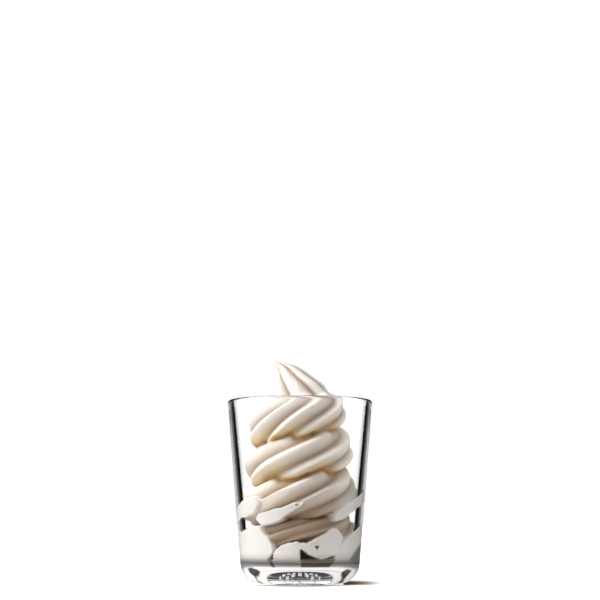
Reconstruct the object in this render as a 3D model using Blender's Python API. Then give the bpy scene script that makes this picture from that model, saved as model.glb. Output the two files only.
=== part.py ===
"""Sundae cup: a swirl of white soft serve standing in a heavy-based, tapered glass tumbler.

Two solids. `tumbler` is a turned profile. `soft_serve` is a fluted rope wound up the inside
of the glass, pressed flat against it low down and drawn out to a leaning peak above the rim.
Lengths are in millimetres until a mesh is made; the object stands on z = 0 on the +Z axis,
and its front faces -Y.
"""
import math

import bmesh
import bpy
import numpy as np

MM = 0.001
TAU = 2.0 * math.pi

# --- The tumbler, mm --------------------------------------------------------------------
GLASS_HEIGHT = 95.5
OUTER_R0 = 30.47          # radius the straight outer wall would have at z = 0
OUTER_SLOPE = 0.0827
INNER_R0 = 25.69          # the same for the inner wall: the glass thickens downwards
INNER_SLOPE = 0.1011
FLOOR = 9.0               # top of the solid glass base
CURVE_WIDTH = 13.0        # the inner wall comes in to that floor along a quarter ellipse
CURVE_HEIGHT = 5.5
HEEL_HEIGHT = 12.0        # height over which the outer wall rounds in to the foot
FOOT_RADIUS = 21.0        # outside of the ring it stands on
PUNT_RADIUS = 13.0        # inside of that ring
PUNT_DEPTH = 2.0          # hollow under the base
GLASS_SEGMENTS = 72
PUNT_STEPS = 4
HEEL_STEPS = 8
RIM_STEPS = 6
CURVE_STEPS = 7

# --- The soft serve, mm -----------------------------------------------------------------
CLEARANCE = 0.35          # left between the soft serve and the glass
BOTTOM = FLOOR + CLEARANCE
TIP_Z = 116.4
FLUTES = 6                # ridges round the rope
FLUTE_DEPTH = 4.2
CREST_SHARE = 0.45        # share of a flute's width that lies above its crest
CREST_ROUND = 0.3         # rounding of the crest; the grooves between flutes are sharp
CREST_START = math.radians(10.0)
FULL_SECTION = 13.2       # section radius of the rope where it is not squeezed
ROPE_END_SPREAD = 12.0    # radius at which turns past an end of the rope are measured
PINCH = 1.3               # extra depth of the crease between two turns
PINCH_WIDTH = 2.4
CORE_RADIUS = 17.0        # no crease between the turns goes in deeper than this
CORE_TOP = 84.0
FILL_RADIUS = 24.0        # the pressed-down mass at the bottom of the glass
FILL_TOP = 14.0

# The rope, turn by turn: turns from the +X side, height of its centre, its outermost
# reach from the axis, and its section radius. A quarter turn is 0.25, the front is 0.75.
ROPE = np.array([
    (-1.75, 10.0, 27.0, 8.0),
    (-1.25, 13.5, 27.4, 8.5),
    (-1.00, 18.5, 27.6, 9.0),
    (-0.75, 19.0, 27.8, 10.5),
    (-0.50, 20.5, 28.0, 9.5),
    (-0.25, 27.6, 26.4, 6.2),
    (0.00, 30.0, 28.2, 8.0),
    (0.25, 34.6, 29.0, 11.0),
    (0.50, 39.6, 29.4, 12.8),
    (0.75, 44.6, 29.9, 13.2),
    (1.25, 54.6, 29.9, 13.2),
    (1.75, 64.6, 29.1, 13.2),
    (2.25, 74.6, 28.4, 13.2),
    (2.50, 79.6, 28.2, 13.2),
    (2.75, 84.6, 26.6, 12.6),
    (3.00, 89.0, 24.6, 10.8),
    (3.25, 93.6, 18.6, 9.2),
    (3.45, 96.0, 14.0, 8.0),
])
# The flutes turn once round the section in each turn of the rope. Where they run ahead of
# that, or behind: turns from the +X side, and how far in turns.
TWIST = np.array([
    (-1.75, 0.0),
    (2.20, 0.0),
    (2.42, -0.03),
    (2.62, -0.055),
    (2.75, 0.01),
    (2.95, 0.045),
    (3.45, 0.1),
])

# The peak, slice by slice: height, half width, and how far its middle stands off the axis.
PEAK = np.array([
    (84.0, 14.0, 0.0),
    (90.0, 16.6, 1.4),
    (95.0, 17.0, 2.0),
    (100.4, 15.0, 1.5),
    (104.0, 12.7, -0.2),
    (107.3, 10.3, -2.2),
    (111.5, 7.5, -4.8),
    (113.6, 6.0, -6.8),
    (114.9, 4.5, -9.2),
    (115.7, 2.7, -11.5),
    (116.4, 0.0, -13.8),
])
PEAK_FLUTE = 0.15         # depth of its flutes as a share of its half width
PEAK_CREST = math.radians(239.0)
PEAK_CREST_Z = 104.0      # height at which that crest is measured
PEAK_TWIST = math.radians(-2.6)   # per mm of height
PEAK_BLEND = 2.5          # rounding where the peak grows out of the last turn
LEAN_START = 80.0         # heights between which the rows move over to the peak's middle
LEAN_END = 96.0

# Where the rope is pressed flat on the glass. Each lobe runs between two round ends:
# degrees from the front, height, radius; then the same for its other end.
PRESSED = (
    (-74, 37.6, 4.0, -51, 40.3, 4.0),
    (-38, 33.2, 3.1, -20, 36.0, 2.7),
    (-20, 36.0, 2.7, 0, 40.3, 1.1),
    (41, 35.3, 2.4, 84, 45.5, 3.0),
    (-80, 18.5, 10.0, -52, 19.5, 10.0),
    (-13, 14.2, 7.4, -5, 14.6, 7.4),
    (14, 18.0, 3.4, 30, 19.5, 5.2),
    (30, 19.5, 5.2, 38, 23.0, 5.2),
    (50, 16.8, 5.4, 84, 26.8, 4.4),
    (108, 42.0, 3.4, 150, 49.0, 3.6),
    (104, 20.0, 8.5, 132, 22.0, 9.0),
    (166, 34.0, 3.6, 205, 40.0, 3.0),
    (158, 18.0, 7.0, 186, 20.5, 7.5),
    (214, 24.0, 5.0, 246, 30.0, 4.6),
    (222, 13.0, 5.0, 262, 12.0, 6.0),
    (228, 45.0, 3.2, 262, 50.5, 3.0),
)
# Hollows left between the lobes, written the same way.
HOLLOWS = (
    (3, 14.5, 2.2, 5, 12.0, 3.2),
    (5, 12.0, 3.2, 33, 11.3, 2.6),
    (-32, 11.0, 1.8, -29, 15.5, 0.8),
    (146, 14.0, 2.2, 150, 25.0, 2.6),
    (204, 14.0, 3.0, 206, 26.0, 2.2),
)
BACK_DEGREES = 100.0      # behind this angle all of it is pressed on the glass, up to BACK_TOP
BACK_TOP = 30.0
MM_PER_DEGREE = 0.497     # round the inner wall at the height of the lobes
SHOULDER = 1.4            # width of the slope from the free surface up to a lobe
STAND_OFF = 1.0           # least gap to the glass where nothing is pressed on it

GRID_AROUND = 220
GRID_UP = 230
RADIAL_STEPS = 44         # first search for the surface along each radius
RADIAL_REACH = 34.0
HALVINGS = 8              # then the nearest step is halved this many times
FAR_OUTSIDE = -50.0
SOFT_SERVE_TRIANGLES = 8800

GLASS_COLOUR = (0.93, 0.95, 0.95, 1.0)
SOFT_SERVE_COLOUR = (0.93, 0.89, 0.82, 1.0)


def smooth_table(x, table, column):
    """Read a column of a table at x with a cubic that passes through every row."""
    xs = table[:, 0]
    ys = table[:, column]
    slope = np.gradient(ys, xs)
    x = np.clip(x, xs[0], xs[-1])
    i = np.clip(np.searchsorted(xs, x, side="right") - 1, 0, len(xs) - 2)
    width = xs[i + 1] - xs[i]
    s = (x - xs[i]) / width
    start = (1 + 2 * s) * (1 - s) ** 2 * ys[i] + s * (1 - s) ** 2 * width * slope[i]
    end = s * s * (3 - 2 * s) * ys[i + 1] + s * s * (s - 1) * width * slope[i + 1]
    return start + end


def outer_radius(z):
    """Straight outer wall of the glass."""
    return OUTER_R0 + OUTER_SLOPE * z


def inner_radius(z):
    """Straight inner wall of the glass."""
    return INNER_R0 + INNER_SLOPE * z


def quarter_turn(steps):
    """Angles from 0 to 90 degrees in equal steps, both ends included."""
    return [k / steps * math.pi / 2.0 for k in range(steps + 1)]


def glass_profile():
    """Half section of the tumbler from the middle of the punt, round the wall, to the inner floor."""
    points = [(0.0, PUNT_DEPTH)]
    for a in quarter_turn(PUNT_STEPS)[1:]:
        points.append((PUNT_RADIUS * math.sin(a), PUNT_DEPTH * math.cos(a)))
    heel = outer_radius(HEEL_HEIGHT) - FOOT_RADIUS
    for a in quarter_turn(HEEL_STEPS):
        points.append((FOOT_RADIUS + heel * math.sin(a), HEEL_HEIGHT * (1.0 - math.cos(a))))
    rim_in = inner_radius(GLASS_HEIGHT)
    rim = (outer_radius(GLASS_HEIGHT) - rim_in) / 2.0
    for a in quarter_turn(RIM_STEPS):
        points.append((rim_in + rim + rim * math.cos(2.0 * a), GLASS_HEIGHT - rim + rim * math.sin(2.0 * a)))
    curve_z = FLOOR + CURVE_HEIGHT
    curve_r = inner_radius(curve_z) - CURVE_WIDTH
    for a in quarter_turn(CURVE_STEPS):
        points.append((curve_r + CURVE_WIDTH * math.cos(a), curve_z - CURVE_HEIGHT * math.sin(a)))
    points.append((0.0, FLOOR))
    return points


def turn_profile(name, points, segments):
    """Turn a half section about Z; its first and last points lie on the axis."""
    bm = bmesh.new()
    rings = []
    for radius, height in points:
        if radius < 1e-6:
            rings.append([bm.verts.new((0.0, 0.0, height * MM))])
            continue
        ring = []
        for k in range(segments):
            a = k / segments * TAU
            ring.append(bm.verts.new((radius * math.cos(a) * MM, radius * math.sin(a) * MM, height * MM)))
        rings.append(ring)
    for low, high in zip(rings[:-1], rings[1:]):
        for k in range(segments):
            n = (k + 1) % segments
            if len(low) == 1:
                bm.faces.new((low[0], high[n], high[k]))
            elif len(high) == 1:
                bm.faces.new((low[k], low[n], high[0]))
            else:
                bm.faces.new((low[k], low[n], high[n], high[k]))
    bmesh.ops.recalc_face_normals(bm, faces=bm.faces)
    mesh = bpy.data.meshes.new(name)
    bm.to_mesh(mesh)
    bm.free()
    return mesh


def flute(phase):
    """Height of a flute, 0 in its grooves to 1 on its crest: a tent with a rounded top."""
    u = (phase + CREST_SHARE) % 1.0
    side = np.where(u < CREST_SHARE, (CREST_SHARE - u) / CREST_SHARE, (u - CREST_SHARE) / (1.0 - CREST_SHARE))
    drop = np.hypot(side, CREST_ROUND) - CREST_ROUND
    return 1.0 - drop / (math.hypot(1.0, CREST_ROUND) - CREST_ROUND)


def rope_depth(x, y, z):
    """How far inside the wound, fluted rope each point is, mm; negative outside.

    The deepest turn counts. Where the second deepest is nearly as deep, two turns meet in a
    crease, and the surface is pinched in there.
    """
    turns = np.arctan2(y, x) / TAU
    r = np.hypot(x, y)
    depth = np.full(r.shape, FAR_OUTSIDE)
    second = depth.copy()
    first = ROPE[0, 0]
    last = ROPE[-1, 0]
    for k in range(-2, 5):
        t = turns + k
        if t.max() < first or t.min() > last:
            continue
        on_rope = np.clip(t, first, last)
        height = smooth_table(on_rope, ROPE, 1)
        section = smooth_table(on_rope, ROPE, 3)
        centre = np.maximum(smooth_table(on_rope, ROPE, 2) - section, 0.0)
        angle = np.arctan2(z - height, r - centre)
        past_end = np.abs(t - on_rope) * TAU * ROPE_END_SPREAD
        distance = np.sqrt((r - centre) ** 2 + (z - height) ** 2 + past_end ** 2)
        twist = on_rope - 0.75 + smooth_table(on_rope, TWIST, 1)
        crest = flute(FLUTES * (twist - (angle - CREST_START) / TAU))
        inside = section - FLUTE_DEPTH * section / FULL_SECTION * (1.0 - crest) - distance
        second = np.where(inside > depth, depth, np.maximum(second, inside))
        depth = np.maximum(depth, inside)
    near = np.clip(1.0 - (depth - second) / PINCH_WIDTH, 0.0, 1.0)
    return depth - PINCH * near * near


def peak_depth(x, y, z):
    """How far inside the drawn-out peak each point is, slice by slice."""
    half = np.interp(z, PEAK[:, 0], PEAK[:, 1])
    middle = np.interp(z, PEAK[:, 0], PEAK[:, 2])
    angle = np.arctan2(y, x - middle)
    crest = flute(FLUTES * (angle - PEAK_CREST - PEAK_TWIST * (z - PEAK_CREST_Z)) / TAU)
    radius = half * (1.0 - PEAK_FLUTE * (1.0 - crest))
    depth = radius - np.hypot(x - middle, y)
    return np.where(z < PEAK[0, 0], FAR_OUTSIDE, depth)


def blend_max(a, b, width):
    """Larger of two fields, rounded over a band where they meet."""
    h = np.clip(0.5 + 0.5 * (a - b) / width, 0.0, 1.0)
    return b + (a - b) * h + width * h * (1.0 - h)


def lobe_depth(degrees, z, lobes):
    """How far inside the nearest lobe a point of the unrolled glass wall is, mm."""
    depth = np.full(degrees.shape, FAR_OUTSIDE)
    for a0, z0, r0, a1, z1, r1 in lobes:
        for whole in (-360.0, 0.0, 360.0):
            u = (degrees - a0 + whole) * MM_PER_DEGREE
            du = (a1 - a0) * MM_PER_DEGREE
            dz = z1 - z0
            s = np.clip((u * du + (z - z0) * dz) / (du * du + dz * dz), 0.0, 1.0)
            away = np.hypot(u - s * du, z - z0 - s * dz)
            depth = np.maximum(depth, r0 + (r1 - r0) * s - away)
    return depth


def soft_serve_limit(z):
    """Largest radius the soft serve may have at a height, clear of the wall and its curve."""
    curve_z = FLOOR + CURVE_HEIGHT
    curve_r = inner_radius(curve_z) - CURVE_WIDTH
    drop = np.clip((curve_z - z) / (CURVE_HEIGHT - CLEARANCE), 0.0, 1.0)
    curve = curve_r + (CURVE_WIDTH - CLEARANCE) * np.sqrt(1.0 - drop * drop)
    return np.where(z < curve_z, curve, inner_radius(z) - CLEARANCE)


def soft_serve_grid():
    """Rows of points up the soft serve: the outermost surface of rope and peak, then pressed."""
    z = np.linspace(BOTTOM, TIP_Z - 0.3, GRID_UP)
    a = np.arange(GRID_AROUND) / GRID_AROUND * TAU
    lean = np.clip((z - LEAN_START) / (LEAN_END - LEAN_START), 0.0, 1.0)
    middle = np.interp(z, PEAK[:, 0], PEAK[:, 2]) * lean * lean * (3.0 - 2.0 * lean)
    steps = np.linspace(0.0, RADIAL_REACH, RADIAL_STEPS)

    def depth_at(r):
        x = middle.reshape(-1, 1) + r * np.cos(a)
        y = r * np.sin(a)
        height = np.broadcast_to(z.reshape(-1, 1), x.shape)
        return blend_max(rope_depth(x, y, height), peak_depth(x, y, height), PEAK_BLEND)

    low = np.zeros((GRID_UP, GRID_AROUND))
    for step in steps:
        trial = np.full(low.shape, step)
        low = np.where(depth_at(trial) > 0.0, trial, low)
    high = low + (steps[1] - steps[0])
    for _ in range(HALVINGS):
        trial = (low + high) / 2.0
        inside = depth_at(trial) > 0.0
        low = np.where(inside, trial, low)
        high = np.where(inside, high, trial)
    core = np.where(z < CORE_TOP, CORE_RADIUS, 0.0)
    core = np.where(z < FILL_TOP, FILL_RADIUS, core)
    low = np.maximum(low, core.reshape(-1, 1))
    x = middle.reshape(-1, 1) + low * np.cos(a)
    y = low * np.sin(a)

    height = np.broadcast_to(z.reshape(-1, 1), x.shape)
    r = np.hypot(x, y)
    degrees = (np.degrees(np.arctan2(y, x)) + 90.0 + 180.0) % 360.0 - 180.0
    pressed = np.minimum(lobe_depth(degrees, height, PRESSED), -lobe_depth(degrees, height, HOLLOWS))
    limit = soft_serve_limit(height)
    free_r = np.minimum(r, limit - STAND_OFF)
    ramp = np.clip(1.0 + pressed / SHOULDER, 0.0, 1.0)
    ramp = ramp * ramp * (3.0 - 2.0 * ramp)
    ramp = np.where((np.abs(degrees) > BACK_DEGREES) & (height < BACK_TOP), 1.0, ramp)
    in_glass = height < CORE_TOP
    scale = np.where(in_glass, (free_r + (limit - free_r) * ramp) / np.maximum(r, CORE_RADIUS / 2.0), 1.0)
    return x * scale, y * scale, z


def soft_serve_mesh(name):
    """Close the grid with a flat bottom and the tip of the peak."""
    x, y, z = soft_serve_grid()
    height = np.broadcast_to(z.reshape(-1, 1), x.shape)
    grid = np.stack([x, y, height], axis=-1).reshape(-1, 3)
    ends = np.array([(0.0, 0.0, BOTTOM), (PEAK[-1, 2], 0.0, TIP_Z)])
    verts = np.concatenate([grid, ends]) * MM
    faces = []
    for i in range(GRID_UP - 1):
        for j in range(GRID_AROUND):
            n = (j + 1) % GRID_AROUND
            low = i * GRID_AROUND
            high = low + GRID_AROUND
            faces.append((low + j, low + n, high + n, high + j))
    bottom = GRID_UP * GRID_AROUND
    top_row = (GRID_UP - 1) * GRID_AROUND
    for j in range(GRID_AROUND):
        n = (j + 1) % GRID_AROUND
        faces.append((n, j, bottom))
        faces.append((top_row + j, top_row + n, bottom + 1))
    mesh = bpy.data.meshes.new(name)
    mesh.from_pydata(verts.tolist(), [], faces)
    mesh.validate()
    return mesh


def material(name, colour, roughness, transmission):
    """A plain Principled material."""
    mat = bpy.data.materials.new(name)
    mat.use_nodes = True
    shader = mat.node_tree.nodes["Principled BSDF"]
    shader.inputs["Base Color"].default_value = colour
    shader.inputs["Roughness"].default_value = roughness
    shader.inputs["Transmission Weight"].default_value = transmission
    return mat


def add_object(name, mesh, mat):
    """Put a mesh in the scene under its own name with its one material."""
    mesh.materials.append(mat)
    obj = bpy.data.objects.new(name, mesh)
    bpy.context.scene.collection.objects.link(obj)
    return obj


def main():
    """Empty the scene and build the two solids."""
    for obj in list(bpy.data.objects):
        bpy.data.objects.remove(obj)
    tumbler_mesh = turn_profile("tumbler", glass_profile(), GLASS_SEGMENTS)
    add_object("tumbler", tumbler_mesh, material("clear_glass", GLASS_COLOUR, 0.02, 1.0))
    cream_mesh = soft_serve_mesh("soft_serve")
    cream = add_object("soft_serve", cream_mesh, material("soft_serve_cream", SOFT_SERVE_COLOUR, 0.55, 0.0))
    start = 2 * GRID_AROUND * GRID_UP
    fewer = cream.modifiers.new("fewer_faces", "DECIMATE")
    fewer.decimate_type = "COLLAPSE"
    fewer.ratio = SOFT_SERVE_TRIANGLES / start


main()
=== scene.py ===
# %% [markdown]
# # A sundae cup: soft serve in a heavy glass
# The object is a swirl of white soft serve that stands in a clear, tapered tumbler. Two pieces
# are made here, a fine glass and a fine swirl, and each takes the place of the plain solid that
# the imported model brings. Both surfaces are worked out with numpy as a grid of points round the
# axis, and then put into a mesh in one go. Their sizes are in mm until the mesh is made, and
# those of floor, lamps and camera are in metres. -Y is the front, +X the right, and +Z is up.

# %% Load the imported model, and keep the size of its box
import math

import bpy
import numpy as np
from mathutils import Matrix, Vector


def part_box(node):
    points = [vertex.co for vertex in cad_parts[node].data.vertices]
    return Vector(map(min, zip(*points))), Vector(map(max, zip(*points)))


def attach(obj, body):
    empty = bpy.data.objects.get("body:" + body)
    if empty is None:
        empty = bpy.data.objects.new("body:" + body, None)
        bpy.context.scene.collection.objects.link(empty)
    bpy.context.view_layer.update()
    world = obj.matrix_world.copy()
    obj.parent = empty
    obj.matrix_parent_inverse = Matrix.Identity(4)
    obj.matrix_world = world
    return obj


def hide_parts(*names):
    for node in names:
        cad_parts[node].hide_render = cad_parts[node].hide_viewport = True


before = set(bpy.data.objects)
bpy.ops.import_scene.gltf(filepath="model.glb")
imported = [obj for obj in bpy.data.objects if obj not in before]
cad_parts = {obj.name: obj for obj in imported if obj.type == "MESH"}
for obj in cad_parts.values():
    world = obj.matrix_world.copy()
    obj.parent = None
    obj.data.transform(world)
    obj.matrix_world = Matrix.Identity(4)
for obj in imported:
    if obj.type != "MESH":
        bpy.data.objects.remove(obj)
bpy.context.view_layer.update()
MM = 0.001
TAU = 2.0 * math.pi
glass_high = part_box("tumbler")[1]
swirl_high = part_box("soft_serve")[1]
print("glass", round(glass_high[2] / MM, 1), "mm high; swirl up to", round(swirl_high[2] / MM, 1), "mm")

# %% [markdown]
# ## Sizes of the glass
# A bar tumbler is a cone cut off at both ends, with a thick base. The photo shows a base about
# a tenth of the height, a foot that rounds in over the lowest eighth, and a wall that gets
# thicker on the way down. Light bends differently at every radius, so these sizes decide how
# the glass looks more than its material does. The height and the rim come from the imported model.

# %% Driving sizes of the glass
GLASS_HEIGHT = glass_high[2] / MM
RIM_OUTER = glass_high[0] / MM
RIM_WALL = 3.02
OUTER_SLOPE = 0.0827
INNER_SLOPE = 0.1011
GLASS_FLOOR = 9.0
HEEL_HEIGHT = 12.0
FOOT_RADIUS = 21.0
# the hollow under the base, which is called a punt
PUNT_RADIUS = 13.0
PUNT_DEPTH = 2.0
# the elliptic curve from the inner wall to the floor
CURVE_WIDTH = 13.0
CURVE_HEIGHT = 5.5
CURVE_TOP = GLASS_FLOOR + CURVE_HEIGHT


def outer_radius(z):
    """Straight outer wall: the rim's radius less the slope times the way down."""
    return RIM_OUTER - OUTER_SLOPE * (GLASS_HEIGHT - z)


def inner_radius(z):
    """Straight inner wall, which slopes a little more, so that the wall thickens downwards."""
    return RIM_OUTER - RIM_WALL - INNER_SLOPE * (GLASS_HEIGHT - z)


CURVE_MIDDLE = inner_radius(CURVE_TOP) - CURVE_WIDTH
low_wall = outer_radius(CURVE_TOP) - inner_radius(CURVE_TOP)
print("wall", RIM_WALL, "mm thick at the rim,", round(low_wall, 2), "low down")

# %% [markdown]
# ## From arrays to meshes
# A closed surface round an axis is a grid of points, one row per height and one column per
# angle. The faces follow from the grid's size alone, so they are worked out as whole arrays.
# The ends are closed by one point each, with a fan of triangles. Each mesh then becomes a piece
# that rides on the model's one body and stands for one of its nodes.

# %% A mesh from a grid that closes round its columns
def grid_mesh(name, points, first, last):
    """Faces join (row, column) with its neighbours, and the last column with the first.

    points has the shape (rows, columns, 3) in mm, with rows that climb and columns that run
    counter-clockwise. first and last are the points that close the two ends.
    """
    rows, columns, _ = points.shape
    verts = np.concatenate([points.reshape(-1, 3), [first, last]]) * MM
    row = np.arange(rows - 1).reshape(-1, 1) * columns
    here = np.arange(columns)
    there = (here + 1) % columns
    quads = np.stack([row + here, row + there, row + columns + there, row + columns + here], axis=-1)
    end = rows * columns
    top = end - columns
    bottom_fan = np.stack([there, here, np.full(columns, end)], axis=-1)
    top_fan = np.stack([top + here, top + there, np.full(columns, end + 1)], axis=-1)
    loops = np.concatenate([quads.ravel(), bottom_fan.ravel(), top_fan.ravel()]).astype(np.int32)
    sizes = np.concatenate([np.full(quads.size // 4, 4), np.full(2 * columns, 3)]).astype(np.int32)
    starts = np.concatenate([[0], np.cumsum(sizes)[:-1]]).astype(np.int32)
    mesh = bpy.data.meshes.new(name)
    mesh.vertices.add(len(verts))
    mesh.vertices.foreach_set("co", verts.astype(np.float32).ravel())
    mesh.loops.add(len(loops))
    mesh.loops.foreach_set("vertex_index", loops)
    mesh.polygons.add(len(sizes))
    mesh.polygons.foreach_set("loop_start", starts)
    mesh.update(calc_edges=True)
    mesh.validate()
    mesh.shade_smooth()
    return mesh


def add_piece(name, mesh, node):
    """Link a mesh as a piece that rides on the root and stands for one node of the model."""
    piece = bpy.data.objects.new(name, mesh)
    bpy.context.scene.collection.objects.link(piece)
    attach(piece, "root")
    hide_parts(node)
    print(name, len(mesh.vertices), "points,", len(mesh.loops) - 2 * len(mesh.polygons), "triangles")


print("grids in mm become meshes at", MM, "m to the mm")

# %% [markdown]
# ## The tumbler
# A turned profile gives a true glass: light is bent at the outer wall and again at the inner
# one, and the thick base acts as a lens. The model's solid has flat facets that would show in
# the glass, so this piece is turned much finer. The profile starts in the middle of the
# hollow under the base, runs out and up the outer wall, over the rim, and down to the floor.

# %% The profile of the glass
ARC_POINTS = 25
RIM_POINTS = 17
WALL_POINTS = 40
FLOOR_POINTS = 12
# the profile keeps off the axis itself, where one point closes the grid
PUNT_POINTS = 24
PUNT_START = 88
FLOOR_END = 0.5


def arc(centre_r, centre_z, radius_r, radius_z, start, stop, steps):
    """Points of an elliptic arc in the (r, z) plane, angles in degrees."""
    a = np.radians(np.linspace(start, stop, steps))
    return np.stack([centre_r + radius_r * np.cos(a), centre_z + radius_z * np.sin(a)], axis=-1)


def wall(radius, start, stop):
    """Points of a straight wall between two heights, without the two ends."""
    z = np.linspace(start, stop, WALL_POINTS)[1:-1]
    return np.stack([radius(z), z], axis=-1)


def glass_profile():
    """Punt, heel, outer wall, rim, inner wall, curve and floor as (r, z) rows in mm."""
    heel_width = outer_radius(HEEL_HEIGHT) - FOOT_RADIUS
    rim_round = RIM_WALL / 2.0
    rim_z = GLASS_HEIGHT - rim_round
    rim_middle = (outer_radius(GLASS_HEIGHT) + inner_radius(GLASS_HEIGHT)) / 2.0
    floor_r = np.linspace(CURVE_MIDDLE, FLOOR_END, FLOOR_POINTS)[1:]
    return np.concatenate([
        arc(0.0, 0.0, PUNT_RADIUS, PUNT_DEPTH, PUNT_START, 0, PUNT_POINTS),
        arc(FOOT_RADIUS, HEEL_HEIGHT, heel_width, HEEL_HEIGHT, -90, 0, ARC_POINTS),
        wall(outer_radius, HEEL_HEIGHT, rim_z),
        arc(rim_middle, rim_z, rim_round, rim_round, 0, 180, RIM_POINTS),
        wall(inner_radius, rim_z, CURVE_TOP),
        arc(CURVE_MIDDLE, CURVE_TOP, CURVE_WIDTH, CURVE_HEIGHT, 0, -90, ARC_POINTS),
        np.stack([floor_r, np.full(floor_r.shape, GLASS_FLOOR)], axis=-1),
    ])


def turned_volume(profile):
    """Cubic mm of a turned profile: the sum of pi / 3 * (a a + a b + b b) * climb over its edges."""
    a, b = profile[:-1, 0], profile[1:, 0]
    return abs(float(np.sum((a * a + a * b + b * b) * np.diff(profile[:, 1])))) * math.pi / 3.0


profile = glass_profile()
print("profile of", len(profile), "points;", round(turned_volume(profile) / 1000.0, 1), "cubic cm of glass")

# %% Turn it about the axis
GLASS_COLUMNS = 288


def turned(profile, columns):
    """Each profile point (r, z) goes round the axis: (r cos a, r sin a, z)."""
    a = np.arange(columns) / columns * TAU
    r = profile[:, :1]
    z = np.repeat(profile[:, 1:], columns, axis=1)
    return np.stack([r * np.cos(a), r * np.sin(a), z], axis=-1)


glass_points = turned(profile, GLASS_COLUMNS)
glass_mesh = grid_mesh("tumbler_glass", glass_points, (0, 0, PUNT_DEPTH), (0, 0, GLASS_FLOOR))
add_piece("tumbler_glass", glass_mesh, "tumbler")

# %% [markdown]
# ## The swirl, as a wound rope
# Soft serve leaves a star-shaped nozzle as a fluted rope and is wound upwards, turn on turn.
# A mesh of the rope itself would cut through its neighbours, so the outermost surface is
# found instead: for each height and angle, the largest radius that is still inside the rope.
# The rope's path is a table of a few places, with a smooth curve through them. Low down, where
# most of it is pressed flat, the turns are smaller and less regular.

# %% Sizes of the rope
# turns from +X (the front is at 0.75), height of the centre, outermost reach, section radius
ROPE = np.array([
    (-1.75, 10.0, 27.0, 8.0),
    (-1.25, 13.5, 27.4, 8.5),
    (-1.00, 18.5, 27.6, 9.0),
    (-0.75, 19.0, 27.8, 10.5),
    (-0.50, 20.5, 28.0, 9.5),
    (-0.25, 27.6, 26.4, 6.2),
    (0.00, 30.0, 28.2, 8.0),
    (0.25, 34.6, 29.0, 11.0),
    (0.50, 39.6, 29.4, 12.8),
    (0.75, 44.6, 29.9, 13.2),
    (1.25, 54.6, 29.9, 13.2),
    (1.75, 64.6, 29.1, 13.2),
    (2.25, 74.6, 28.4, 13.2),
    (2.50, 79.6, 28.2, 13.2),
    (2.75, 84.6, 26.6, 12.6),
    (3.00, 89.0, 24.6, 10.8),
    (3.25, 93.6, 18.6, 9.2),
    (3.45, 96.0, 14.0, 8.0),
])
TURNS, HEIGHT, REACH, SECTION = 0, 1, 2, 3
FRONT_TURN = 0.75
FULL_SECTION = 13.2
ROPE_END_SPREAD = 12.0
# the swirl is never narrower than these radii, up to these heights
FILL_RADIUS = 24.0
FILL_TOP = 14.0
CORE_RADIUS = 17.0
CORE_TOP = 84.0
# turns from +X, and how far the flutes run ahead of one turn of the section for each turn
TWIST = np.array([
    (-1.75, 0.0), (2.2, 0.0), (2.42, -0.03), (2.62, -0.055), (2.75, 0.01), (2.95, 0.045), (3.45, 0.1)])


def smooth_table(x, table, column):
    """Cubic through the rows of a table: value and slope match at every row."""
    xs = table[:, 0]
    ys = table[:, column]
    slope = np.gradient(ys, xs)
    x = np.clip(x, xs[0], xs[-1])
    i = np.clip(np.searchsorted(xs, x, side="right") - 1, 0, len(xs) - 2)
    width = xs[i + 1] - xs[i]
    s = (x - xs[i]) / width
    start = (1 + 2 * s) * (1 - s) ** 2 * ys[i] + s * (1 - s) ** 2 * width * slope[i]
    end = s * s * (3 - 2 * s) * ys[i + 1] + s * s * (s - 1) * width * slope[i + 1]
    return start + end


print("rope of", ROPE[-1, TURNS] - ROPE[0, TURNS], "turns, up to", 2.0 * FULL_SECTION, "mm thick")

# %% [markdown]
# ## Flutes and creases
# The nozzle's teeth leave grooves along the rope, and the flutes between them are rounded, and
# steeper on one side. They could be a pattern in a bump map, but they show against the
# background, so they are cut into the rope's own section. Where two turns meet, the ice cream
# is drawn in to a crease, and how near a point is to one is kept for the painted shade there.

# %% Depth inside the fluted rope
FLUTES = 6
FLUTE_DEPTH = 4.2
CREST_SHARE = 0.3
CREST_ROUND = 0.3
CREST_START = math.radians(10.0)
PINCH = 1.3
PINCH_WIDTH = 2.4
FAR_OUTSIDE = -50.0


def flute(phase):
    """Height of a flute, 0 to 1: a tent with a rounded crest between two sharp grooves.

    With t the share of the way from the crest to the groove on that side, the height is
    1 - (sqrt(t t + e e) - e) / (sqrt(1 + e e) - e).
    """
    u = (phase + CREST_SHARE) % 1.0
    t = np.where(u < CREST_SHARE, (CREST_SHARE - u) / CREST_SHARE, (u - CREST_SHARE) / (1.0 - CREST_SHARE))
    e = CREST_ROUND
    return 1.0 - (np.sqrt(t * t + e * e) - e) / (math.sqrt(1.0 + e * e) - e)


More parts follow.
